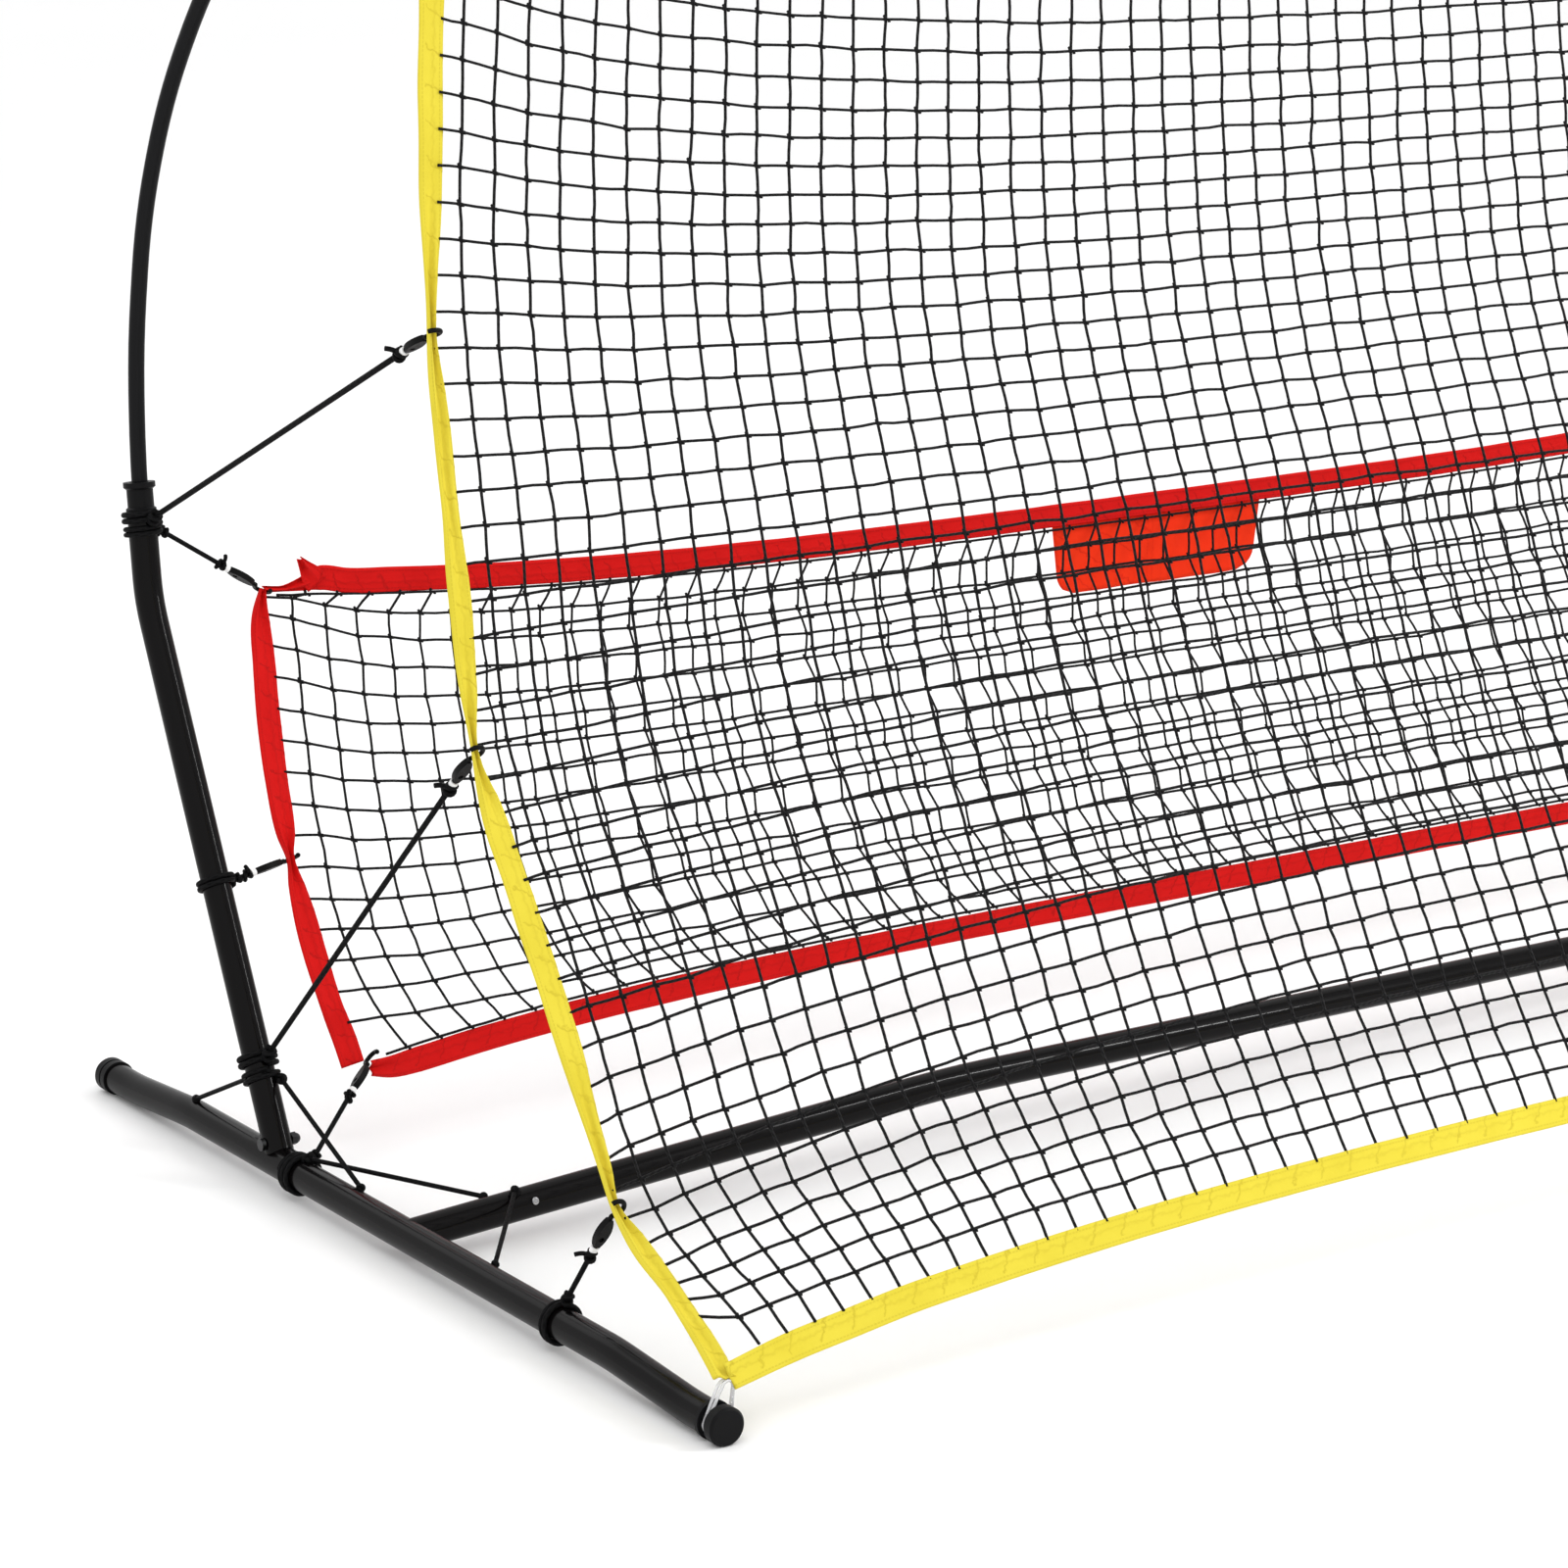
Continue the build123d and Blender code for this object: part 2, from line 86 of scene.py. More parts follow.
REAR_LEVELS = [
    ((1.096, 0.447, 0.512), (0.45, 0.472)), ((1.113, 0.395, 0.404), (0.418, 0.385)),
    ((1.13, 0.33, 0.28), (0.362, 0.29)), ((1.131, 0.281, 0.19), (0.3, 0.195)),
    ((1.1, 0.239, 0.098), (0.24, 0.13))]
# Hem stations: distance from the centre plane, y, z, width.
FRONT_SIDE_HEM = [
    (1.126, 0.019, 1.432, 0.012), (1.134, 0.017, 1.395, 0.025), (1.162, 0.005, 1.12, 0.025),
    (1.184, -0.024, 0.89, 0.0155), (1.19, -0.033, 0.839, 0.007), (1.19, -0.042, 0.79, 0.0145),
    (1.192, -0.066, 0.68, 0.0185), (1.197, -0.1, 0.53, 0.0175), (1.199, -0.111, 0.482, 0.007),
    (1.199, -0.139, 0.438, 0.0205), (1.202, -0.244, 0.295, 0.025), (1.207, -0.332, 0.168, 0.0135),
    (1.209, -0.354, 0.136, 0.007), (1.211, -0.385, 0.121, 0.0165), (1.218, -0.465, 0.091, 0.0205),
    (1.226, -0.551, 0.062, 0.014)]
REAR_SIDE_HEM = [
    (1.111, 0.448, 0.52, 0.006), (1.116, 0.443, 0.5, 0.015), (1.127, 0.417, 0.445, 0.025),
    (1.142, 0.372, 0.356, 0.025), (1.148, 0.342, 0.301, 0.018), (1.15, 0.33, 0.28, 0.007),
    (1.151, 0.317, 0.257, 0.018), (1.15, 0.281, 0.19, 0.025), (1.146, 0.256, 0.142, 0.024),
    (1.136, 0.245, 0.118, 0.016), (1.118, 0.236, 0.098, 0.006)]

# ---- camera, floor and light ----
bpy.context.scene.view_settings.view_transform = "Standard"
camera = bpy.data.objects.new("camera", bpy.data.cameras.new("camera"))
bpy.context.scene.collection.objects.link(camera)
camera.location = (-3.1954, -3.5662, 1.4662)
camera.rotation_euler = (math.radians(90 - 14.265), 0, math.radians(-33.893))
camera.data.sensor_width = 36
camera.data.lens = 108.157
bpy.context.scene.camera = camera


# ---- materials ----
class Nodes:
    """A material's nodes, with short calls that add and link one."""

    def __init__(self, name):
        self.material = bpy.data.materials.new(name)
        self.material.use_nodes = True
        self.tree = self.material.node_tree
        self.shader = self.tree.nodes["Principled BSDF"]

    def add(self, kind, **inputs):
        node = self.tree.nodes.new(kind)
        for key, value in inputs.items():
            if key in node.inputs:
                self.put(node.inputs[key], value)
            else:
                setattr(node, key, value)
        return node

    def put(self, socket, value):
        if isinstance(value, bpy.types.NodeSocket):
            self.tree.links.new(value, socket)
        else:
            socket.default_value = value

    def math(self, operation, a, b=0.0, c=0.0):
        node = self.tree.nodes.new("ShaderNodeMath")
        node.operation = operation
        for socket, value in zip(node.inputs, (a, b, c)):
            self.put(socket, value)
        return node.outputs[0]

    def noise(self, scale, detail=2.0, where=None):
        node = self.add("ShaderNodeTexNoise", Scale=scale, Detail=detail)
        self.put(node.inputs["Vector"], where or self.add("ShaderNodeTexCoord").outputs["Object"])
        return node.outputs[0]

    def blend(self, share, low, high):
        """A colour between two, by a share from 0 to 1."""
        ramp = self.tree.nodes.new("ShaderNodeValToRGB")
        ramp.color_ramp.elements[0].color = (*low, 1)
        ramp.color_ramp.elements[1].color = (*high, 1)
        self.put(ramp.inputs[0], share)
        return ramp.outputs[0]

    def between(self, share, low, high):
        """A number between two, by a share from 0 to 1."""
        return self.math("MULTIPLY_ADD", share, high - low, low)

    def bump(self, height, distance, strength=1.0, base=None):
        node = self.add("ShaderNodeBump", Strength=strength, Distance=distance, Height=height)
        if base:
            self.put(node.inputs["Normal"], base)
        return node.outputs[0]

    def along(self):
        """The two lengths of a cord's or tape's own map: across or around, and along."""
        split = self.add("ShaderNodeSeparateXYZ", Vector=self.add("ShaderNodeUVMap").outputs[0])
        return split.outputs[0], split.outputs[1]

    def finish(self, **values):
        for key, value in values.items():
            self.put(self.shader.inputs[key.replace("_", " ")], value)
        return self.material


def painted_steel():
    m = Nodes("gloss_powder_coat")
    peel = m.noise(700, 3)
    blotch = m.noise(9, 4)
    colour = m.blend(blotch, (0.0014, 0.0011, 0.0012), (0.0026, 0.0021, 0.0023))
    return m.finish(Base_Color=colour, Roughness=m.between(blotch, 0.20, 0.30), Specular_IOR_Level=0.04,
                    Normal=m.bump(peel, 0.0002, 0.25), Coat_Weight=0.15, Coat_Roughness=0.05)


def moulded_plastic(name, colour, rough, grain=0.00025, specular=0.08):
    m = Nodes(name)
    fine = m.noise(2600, 2)
    broad = m.noise(60, 3)
    tint = m.blend(broad, tuple(c * 0.8 for c in colour), tuple(min(1, c * 1.25) for c in colour))
    return m.finish(Base_Color=tint, Roughness=m.between(broad, rough - 0.06, rough + 0.08),
                    Specular_IOR_Level=specular, Normal=m.bump(fine, grain, 0.4))


def fibreglass():
    m = Nodes("satin_fibreglass")
    wrap = m.add("ShaderNodeMapping", Vector=m.add("ShaderNodeTexCoord").outputs["Object"])
    wrap.inputs["Scale"].default_value = (900, 900, 30)
    strands = m.noise(1.0, 3, wrap.outputs[0])
    return m.finish(Base_Color=m.blend(strands, (0.004, 0.004, 0.0045), (0.008, 0.008, 0.009)),
                    Roughness=m.between(strands, 0.26, 0.42), Normal=m.bump(strands, 0.0002, 0.3),
                    Specular_IOR_Level=0.05, Coat_Weight=0.10, Coat_Roughness=0.08)


def metal(name, colour, rough):
    m = Nodes(name)
    brushed = m.add("ShaderNodeMapping", Vector=m.add("ShaderNodeTexCoord").outputs["Object"])
    brushed.inputs["Scale"].default_value = (200, 2500, 2500)
    lines = m.noise(1.0, 3, brushed.outputs[0])
    return m.finish(Base_Color=m.blend(lines, tuple(c * 0.8 for c in colour), colour), Metallic=1.0,
                    Roughness=m.between(lines, rough, rough + 0.15), Normal=m.bump(lines, 0.0001, 0.3))


def braid(name, dark, light, radius, strands=4, rough=0.6, depth=0.0003):
    """Strands that cross both ways round a cord."""
    m = Nodes(name)
    around, length = m.along()
    turns = m.math("MULTIPLY", around, 2 * math.pi * strands)
    climb = m.math("MULTIPLY", length, 1.0 / radius)
    one = m.math("SINE", m.math("ADD", turns, m.math("MULTIPLY", climb, 1.3)))
    other = m.math("SINE", m.math("SUBTRACT", turns, m.math("MULTIPLY", climb, 1.3)))
    height = m.math("MULTIPLY_ADD", m.math("MAXIMUM", one, other), 0.5, 0.5)
    fuzz = m.noise(3000, 2)
    # Painted shade: the colour darkens in the grooves between the strands as their height falls. The fuzz
    # noise varies it at random.
    colour = m.blend(m.math("MULTIPLY", height, m.between(fuzz, 0.6, 1.0)), dark, light)
    normal = m.bump(fuzz, depth * 0.4, 0.5, m.bump(height, depth, 0.9))
    return m.finish(Base_Color=colour, Roughness=rough, Normal=normal, Specular_IOR_Level=0.05)


def twine():
    """Two-ply polyester twine."""
    m = Nodes("net_twine")
    around, length = m.along()
    lay = m.math("ADD", m.math("MULTIPLY", around, 4 * math.pi), m.math("MULTIPLY", length, 900))
    ply = m.math("MULTIPLY_ADD", m.math("SINE", lay), 0.5, 0.5)
    worn = m.noise(25, 3)
    # Painted shade: darker in the groove between the plies. The worn noise varies the tone at random.
    dark = m.blend(m.math("MULTIPLY", ply, worn), (0.004, 0.004, 0.0044), (0.020, 0.0195, 0.0205))
    return m.finish(Base_Color=dark, Roughness=0.62, Normal=m.bump(ply, 0.0003, 0.8),
                    Specular_IOR_Level=0.1)


def tape(name, deep, bright, shadow_and_stitch, pitch):
    """Woven tape with a stitched line beside each edge.

    The map's first length is across, from the middle.
    """
    m = Nodes(name)
    across, length = m.along()
    warp = m.math("SINE", m.math("MULTIPLY", across, 2 * math.pi / 0.0011))
    weft = m.math("SINE", m.math("MULTIPLY", length, 2 * math.pi / 0.0013))
    weave = m.math("MULTIPLY_ADD", m.math("MULTIPLY", warp, weft), 0.5, 0.5)
    off = m.math("ABSOLUTE", m.math("SUBTRACT", m.math("ABSOLUTE", across), 0.0088))
    line = m.math("LESS_THAN", off, 0.0006)
    dash = m.math("GREATER_THAN", m.math("SINE", m.math("MULTIPLY", length, 2 * math.pi / 0.0036)), -0.5)
    stitch = m.math("MULTIPLY", line, dash)
    cloud = m.noise(22, 4)
    crease = m.noise(140, 3)
    # Painted shade between the threads: the weave's raised threads are lighter. The cloud noise varies the
    # tone at random.
    tone = m.math("MULTIPLY_ADD", weave, 0.25, m.math("MULTIPLY", cloud, 0.75))
    colour = m.blend(tone, deep, bright)
    # Painted shadow: the netting's edge rope inside the tape darkens it as a faint line with a tick at
    # every row.
    wander = m.math("MULTIPLY_ADD", crease, 0.014, m.math("MULTIPLY", across, 0.6))
    ahead = m.math("MULTIPLY", m.math("ADD", length, wander), 2 * math.pi / pitch)
    row = m.math("POWER", m.math("MAXIMUM", m.math("SINE", ahead), 0.0), 30)
    beside = m.math("ABSOLUTE", m.math("SUBTRACT", across, m.between(crease, -0.007, 0.002)))
    edge = m.math("SUBTRACT", 1.0, m.math("MINIMUM", m.math("MULTIPLY", beside, 500), 1.0))
    faint = m.math("MULTIPLY", edge, 0.5)
    tick = m.math("MULTIPLY", row, m.math("LESS_THAN", across, 0.006))
    under = m.math("MAXIMUM", faint, tick)
    # Mixes in the darker third colour: full strength for the painted shadow of the netting's edge, half
    # strength for the real stitches.
    mix = m.add("ShaderNodeMixRGB", blend_type="MIX", Color1=colour, Color2=(*shadow_and_stitch, 1))
    m.put(mix.inputs[0], m.math("MULTIPLY", m.math("MAXIMUM", under, m.math("MULTIPLY", stitch, 0.5)),
                                m.between(cloud, 0.15, 0.75)))
    normal = m.bump(weave, 0.0002, 0.5)
    normal = m.bump(stitch, 0.0005, 0.8, normal)
    normal = m.bump(crease, 0.0012, 0.35, normal)
    return m.finish(Base_Color=mix.outputs[0], Roughness=0.68, Normal=normal, Specular_IOR_Level=0.1)


def clear_elastic():
    m = Nodes("clear_elastic")
    haze = m.noise(400, 2)
    return m.finish(Base_Color=m.blend(haze, (0.82, 0.82, 0.84), (0.95, 0.95, 0.96)),
                    Roughness=m.between(haze, 0.18, 0.32), Transmission_Weight=0.55, IOR=1.45,
                    Normal=m.bump(haze, 0.0002, 0.3))


STEEL = painted_steel()
MOULDED = moulded_plastic("moulded_black", (0.005, 0.005, 0.0055), 0.42)
POLE = fibreglass()
BLACK_BOLT = metal("blackened_bolt", (0.045, 0.045, 0.047), 0.3)
SPRING = metal("spring_steel", (0.5, 0.5, 0.52), 0.3)
PLATED = metal("plated_button", (0.42, 0.42, 0.43), 0.14)
TWINE = twine()
YELLOW = tape("yellow_tape", (0.60, 0.485, 0.028), (0.75, 0.635, 0.060), (0.42, 0.31, 0.014),
              FRONT_SIDE_PITCH)
RED = tape("red_tape", (0.48, 0.003, 0.003), (0.71, 0.007, 0.006), (0.24, 0.002, 0.002),
           REAR_SIDE_PITCH)
ORANGE = tape("flap_fabric", (0.96, 0.022, 0.003), (1.0, 0.050, 0.009), (0.70, 0.010, 0.003),
              COLUMN_PITCH)
BRAID = braid("braided_elastic", (0.0016, 0.0016, 0.0018), (0.008, 0.008, 0.0085), CORD_R)
HOOK = moulded_plastic("hook_plastic", (0.003, 0.003, 0.003), 0.42)
BEAD = moulded_plastic("bead_plastic", (0.80, 0.80, 0.80), 0.28)
CLEAR = clear_elastic()

FINISHES = {
    "steel_tube": STEEL, "black_plastic": MOULDED, "pole_rod": POLE, "bolt_steel": BLACK_BOLT,
    "spring_steel": SPRING, "button_steel": PLATED, "net_twine": TWINE, "yellow_tape": YELLOW,
    "red_tape": RED, "flap_fabric": ORANGE, "cord": BRAID, "hook_plastic": HOOK,
    "stopper_plastic": BEAD, "clear_elastic": CLEAR}
for part in frame["record"]["subparts"]:
    node = frame["nodes"][part["node"]]
    node.data.materials.clear()
    node.data.materials.append(FINISHES[part["material_slot"]])


# ---- shapes ----
def unit(v):
    v = np.asarray(v, float)
    return v / np.linalg.norm(v, axis=-1, keepdims=True)


def point(x, y, z):
    return np.array([x, y, z], float)


def along_line(points, share):
    """Rows at shares of a smooth line through rows whose first three numbers are a place."""
    points = np.array(points, float)
    steps = np.linalg.norm(np.diff(points[:, :3], axis=0), axis=1)
    s = np.concatenate([[0], np.cumsum(steps)])
    slope = np.gradient(points, s, axis=0)
    at = np.asarray(share) * s[-1]
    i = np.clip(np.searchsorted(s, at, side="right") - 1, 0, len(s) - 2)
    h = (s[i + 1] - s[i])[:, None]
    t = (at - s[i])[:, None] / h
    start = points[i] * (2 * t ** 3 - 3 * t ** 2 + 1) + slope[i] * h * (t ** 3 - 2 * t ** 2 + t)
    return start + points[i + 1] * (3 * t ** 2 - 2 * t ** 3) + slope[i + 1] * h * (t ** 3 - t ** 2)


def line_length(points):
    return float(np.linalg.norm(np.diff(np.asarray(points, float)[:, :3], axis=0), axis=1).sum())


def tubes(paths, radius, sides=8, flat=1.0):
    """A round cord along each row of points: (vertices, faces, map)."""
    paths = np.asarray(paths, float)
    many, count = paths.shape[:2]
    tangent = unit(np.gradient(paths, axis=1))
    upright = np.abs(tangent[:, :1, 2:]) > 0.9
    side = unit(np.cross(tangent[:, 0], np.where(upright, [1.0, 0, 0], [0, 0, 1.0])[:, 0]))
    rows = []
    for i in range(count):
        side = unit(side - tangent[:, i] * np.sum(side * tangent[:, i], axis=1, keepdims=True))
        rows.append(side)
    side = np.stack(rows, axis=1)
    up = np.cross(tangent, side)
    angle = np.arange(sides) * 2 * math.pi / sides
    reach = np.broadcast_to(radius, (many, count))[:, :, None, None]
    spoke = side[:, :, None] * np.cos(angle)[:, None] * flat + up[:, :, None] * np.sin(angle)[:, None]
    vertices = (paths[:, :, None] + reach * spoke).reshape(-1, 3)
    p, i, k = np.meshgrid(np.arange(many), np.arange(count - 1), np.arange(sides), indexing="ij")
    low = (p * count + i) * sides
    quads = np.stack([low + k, low + (k + 1) % sides, low + sides + (k + 1) % sides, low + sides + k], -1)
    run = np.linalg.norm(np.diff(paths, axis=1), axis=2)
    run = np.concatenate([np.zeros((many, 1)), np.cumsum(run, axis=1)], axis=1)
    near, far = run[p, i], run[p, i + 1]
    here, there = k / sides, (k + 1) / sides
    chart = np.stack([here, near, there, near, there, far, here, far], -1).reshape(-1, 2)
    faces = quads.reshape(-1, 4).tolist()
    for first in range(0, many * count * sides, count * sides):
        last = first + (count - 1) * sides
        faces += [list(range(first + sides - 1, first - 1, -1)), list(range(last, last + sides))]
    chart = np.concatenate([chart, np.zeros((many * 2 * sides, 2))])
    return vertices, faces, chart


def make(name, parts, material, body="frame", stands_for=()):
    """One object from several shapes, that rides on a body and stands for CAD nodes."""
    vertices, faces, charts, first = [], [], [], 0
    for v, f, c in parts:
        vertices.append(v)
        faces += f if not first else [[k + first for k in face] for face in f]
        charts.append(c)
        first += len(v)
    mesh = bpy.data.meshes.new(name)
    mesh.from_pydata(np.concatenate(vertices).tolist(), [], faces)
    mesh.uv_layers.new(name="map").data.foreach_set("uv", np.concatenate(charts).ravel())
    mesh.polygons.foreach_set("use_smooth", [True] * len(mesh.polygons))
    mesh.materials.append(material)
    mesh.validate()
    piece = bpy.data.objects.new(name, mesh)
    bpy.context.scene.collection.objects.link(piece)
    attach(piece, body)
    if stands_for:
        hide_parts(*stands_for)
    return piece


# ---- netting ----
def net_grid(levels, across, down, inner, power):
    """Points of a net's surface, rows from the top and columns from left to right.

    down and inner place each row at the side hems and away from them, as shares of the height.
    power, at the top and the bottom, says how soon the surface turns towards the side hems.
    """
    edges = [edge for edge, middle in levels]
    middles = [(0, *middle) for edge, middle in levels]
    down = np.asarray(down, float)
    bend = (power[0] + (power[1] - power[0]) * down)[:, None]
    turn = (np.abs(across)[None] ** bend)[..., None]
    rest = (1 - np.abs(across) ** SAG_POWER)[None, :, None]
    edge, low_edge = along_line(edges, down)[:, None], along_line(edges, inner)[:, None]
    middle, low_middle = along_line(middles, down)[:, None], along_line(middles, inner)[:, None]
    edge = edge + (low_edge - edge) * rest
    middle = middle + (low_middle - middle) * rest
    grid = middle + (edge - middle) * turn
    grid[:, :, 0] = edge[:, :, 0] * across
    return grid


def to_hem(grid, stations):
    """Ends the rows just inside the side hems."""
    z, x, y, width = (np.array([s[i] for s in stations])[::-1] for i in (2, 0, 1, 3))
    for column, side in ((0, -1), (-1, 1)):
        at = grid[:, column, 2]
        inside = np.interp(at, z, x) - np.interp(at, z, width) / 2 + 0.003
        grid[:, column, 0] = side * inside
        grid[:, column, 1] = np.interp(at, z, y)


def twines(lines, bow):
    """Each line of knots with a slightly bowed point between neighbours."""
    middle = (lines[:, 1:] + lines[:, :-1]) / 2 + bow * rng.normal(size=lines[:, 1:].shape)
    paths = np.empty((len(lines), lines.shape[1] * 2 - 1, 3))
    paths[:, ::2] = lines
    paths[:, 1::2] = middle
    return paths


def knots(places, radius, length):
    """Each knot is a short coil of twine that lies slantwise over its crossing."""
    turn = np.linspace(0, 2.6 * math.pi, 9)
    slant = unit([0.72, -0.25, -0.65])
    side = unit(np.cross(slant, [0, 1, 0]))
    out = np.cross(slant, side)
    coil = np.linspace(-0.5, 0.5, 9)[:, None] * slant * length
    coil = coil + radius * 0.8 * (np.cos(turn)[:, None] * side + np.sin(turn)[:, None] * out)
    return tubes(places[:, None] + coil * rng.uniform(0.85, 1.15, (len(places), 1, 1)), radius, 5)


def spaced(columns, crowd):
    """Columns from -1 to 1, closer together towards the hems by a share."""
    u = np.linspace(0, 1, 200)
    run = np.concatenate([[0], np.cumsum(1 / (1 - crowd * ((u[1:] + u[:-1]) / 2) ** 1.8))])
    at = np.linspace(-1 + 0.9 / columns, 1 - 0.9 / columns, columns)
    return np.concatenate([[-1], np.sign(at) * np.interp(np.abs(at), run / run[-1], u), [1]])


def netting(name, levels, stations, across, down, inner, power, slack, top, bottom, shown, node):
    """Rows and columns of twine with a knot at every crossing.

    slack sways every other row sideways, top and bottom shift the columns' ends into the hems, and
    shown is the range of rows that isn't inside a hem.
    """
    grid = net_grid(levels, across, down, inner, power)
    lean = 1 - across ** 2
    sway = np.where(np.arange(len(down)) % 2, 0.5, -0.5)[:, None] * slack
    grid[1:-1, 1:-1, 0] += (sway * lean)[1:-1, 1:-1]
    grid[1:-1, 1:-1] += rng.normal(size=grid[1:-1, 1:-1].shape) * 0.0006
    grid[0, 1:-1] += top
    grid[-1, 1:-1] += bottom
    to_hem(grid[1:-1], stations)
    across_paths = twines(grid[shown], 0.0003)
    down_paths = twines(grid[:, 1:-1].transpose(1, 0, 2), 0.0003)
    tied = knots(grid[shown, 1:-1].reshape(-1, 3), TWINE_R * 1.1, 0.0062)
    parts = [tubes(across_paths, TWINE_R, 6), tubes(down_paths, TWINE_R, 6), tied]
    return make(name, parts, TWINE, stands_for=[node])


# Shares of the height: rows of the front net sag below their ends, most of all near the top.
FRONT_DOWN = np.linspace(0, 1, 51)
FRONT_INNER = FRONT_DOWN + np.interp(FRONT_DOWN, (0, 0.12, 0.205, 0.33, 0.46, 1),
                                     (0.006, 0.0155, 0.016, 0.007, 0.002, 0))
FRONT_POWER = (3.4, 3.4)
# The rear net's first two rows start at its upper corner, so every row ends above its middle.
REAR_DOWN = np.concatenate([[0, 0], 0.038 + 0.0675 * np.arange(14), [1]])
REAR_INNER = np.concatenate([[0], np.linspace(0.055, 0.957, 15), [1]])
REAR_POWER = (3.4, 4.6)
netting("front_net", FRONT_LEVELS, FRONT_SIDE_HEM, spaced(71, 0.25), FRONT_DOWN, FRONT_INNER, FRONT_POWER,
        0.0, (0, 0, 0.005), (0, -0.0026, -0.0043), slice(1, -1), "front_netting")
netting("rear_net", REAR_LEVELS, REAR_SIDE_HEM, spaced(63, -0.03), REAR_DOWN, REAR_INNER, REAR_POWER,
        0.006, (0.017, 0, -0.001), (0.007, 0, 0.001), slice(0, None), "rear_netting")


# ---- hem tapes ----
def ribbon(stations, outward, pitch, rope=0.0006, step=0.003):
    """A folded tape that is pleated where it is gathered. The outward edge holds a rope."""
    count = int(line_length(stations) / step) + 2
    line = along_line(stations, np.linspace(0, 1, count))
    path = line[:, :3]
    width = np.clip(line[:, 3], 0.006, TAPE_W)
    tangent = unit(np.gradient(path, axis=0))
    wide = unit(outward - tangent * (tangent @ outward)[:, None])
    face = np.cross(tangent, wide)
    run = np.concatenate([[0], np.cumsum(np.linalg.norm(np.diff(path, axis=0), axis=1))])
    s = np.linspace(-1, 1, 17)
    gather = np.sqrt(np.clip(1 - (width / TAPE_W) ** 2, 0, 1))[:, None]
    pleat = 0.0036 * gather ** 1.5 * np.cos(1.5 * math.pi * (s + 0.15 * np.sin(run / 0.031)[:, None]))
    phase = rng.uniform(0, 6, 4)
    wave = (np.sin(run / 0.021 + phase[0]) + 0.7 * np.sin(run / 0.0132 + phase[1]))[:, None] * 0.00035
    wave = wave + np.sin(run / 0.017 + phase[2])[:, None] * 0.0005 * s
    half = 0.0008 + rope * np.exp(-((s - 0.8) / 0.16) ** 2) + 0.0004 * np.exp(-((s + 0.16) / 0.12) ** 2)
    bead = np.exp(-(((run + pitch / 4) % pitch - pitch / 2) / 0.002) ** 2)[:, None]
    half = half * np.sqrt(1 - 0.85 * s ** 8) + 0.0005 * bead * (s < -0.1)
    middle = path[:, None] + wide[:, None] * (s * width[:, None] / 2)[..., None]
    front = middle + face[:, None] * (pleat + wave + half)[..., None]
    back = middle + face[:, None] * (pleat + wave - half)[..., None]
    section = np.concatenate([front, back[:, ::-1]], axis=1)
    around = section.shape[1]
    i, k = np.meshgrid(np.arange(count - 1), np.arange(around), indexing="ij")
    nxt = (k + 1) % around
    quads = np.stack([i * around + k, i * around + nxt, (i + 1) * around + nxt, (i + 1) * around + k], -1)
    flat = np.concatenate([s, s[::-1]]) * TAPE_W / 2
    chart = np.stack([flat[k], run[i], flat[nxt], run[i], flat[nxt], run[i + 1], flat[k], run[i + 1]], -1)
    faces = quads.reshape(-1, 4).tolist()
    last = (count - 1) * around
    faces += [list(range(around - 1, -1, -1)), list(range(last, last + around))]
    chart = np.concatenate([chart.reshape(-1, 2), np.zeros((2 * around, 2))])
    return section.reshape(-1, 3), faces, chart


def hem(name, stations, outward, material, pitch, node):
    piece = make(name, [ribbon(stations, np.array(outward, float), pitch)], material,
                 stands_for=[node])


def row_hem(level, shift, power, reach, ends):
    """Stations beside the first or last row of the netting, run on to the corners."""
    (x, y, z), (my, mz) = level
    across = np.linspace(-reach, reach, 41)
    below = ((x, y, z - 0.1), (my, mz - 0.1))
    line = net_grid([level, below], across, [0.0], [0.0], (power, power))[0] + shift
    left = [(-e[0], *e[1:]) for e in ends]
    return left[::-1] + [(*p, TAPE_W) for p in line] + [tuple(e) for e in ends]


# The visible ends of the hems, past where the CAD strips stop: distance from the centre plane, y, z, width.
YELLOW_CORNER = [(1.2240, -0.515, 0.0720, 0.0200), (1.2300, -0.5540, 0.0530, 0.0205)]
RED_TAB = [(1.1410, 0.249, 0.121, 0.025), (1.1370, 0.2385, 0.0940, 0.025)]
RED_EAR = [(1.052, 0.4455, 0.5180, 0.024), (1.058, 0.4448, 0.5265, 0.024), (1.0655, 0.4443, 0.5370, 0.0145),
           (1.0710, 0.4440, 0.5455, 0.006)]

for side, word in ((-1, "left"), (1, "right")):
    places = [(side * x, y, z, w) for x, y, z, w in FRONT_SIDE_HEM[:-1] + YELLOW_CORNER]
    hem("yellow_hem_" + word, places, (side, 0, 0), YELLOW, FRONT_SIDE_PITCH,
        "front_hem_" + word)
    places = [(side * x, y, z, w) for x, y, z, w in REAR_SIDE_HEM[:-2] + RED_TAB]
    hem("red_hem_" + word, places, (side, 0, 0), RED, REAR_SIDE_PITCH,
        "rear_hem_" + word)
    places = [(side * x, y, z, w) for x, y, z, w in RED_EAR]
    make("red_ear_" + word, [ribbon(places, point(side, 0, 0.3), 0.03)], RED)
hem("yellow_hem_top",
    row_hem(FRONT_LEVELS[0], (0, 0, HEM_GAP), FRONT_POWER[0], 1.0, [(1.126, 0.0205, 1.4335, 0.018)]),
    (0, 0, 1), YELLOW, COLUMN_PITCH, "front_hem_top")
hem("yellow_hem_bottom",
    row_hem(FRONT_LEVELS[-1], (0, -0.0075, -0.0125), FRONT_POWER[1], 0.86,
            [(1.100, -0.5463, 0.0708, 0.025), (1.160, -0.5487, 0.0635, 0.025),
             (1.226, -0.5550, 0.0535, 0.023)]),
    (0, -0.0075, -0.0125), YELLOW, COLUMN_PITCH, "front_hem_bottom")
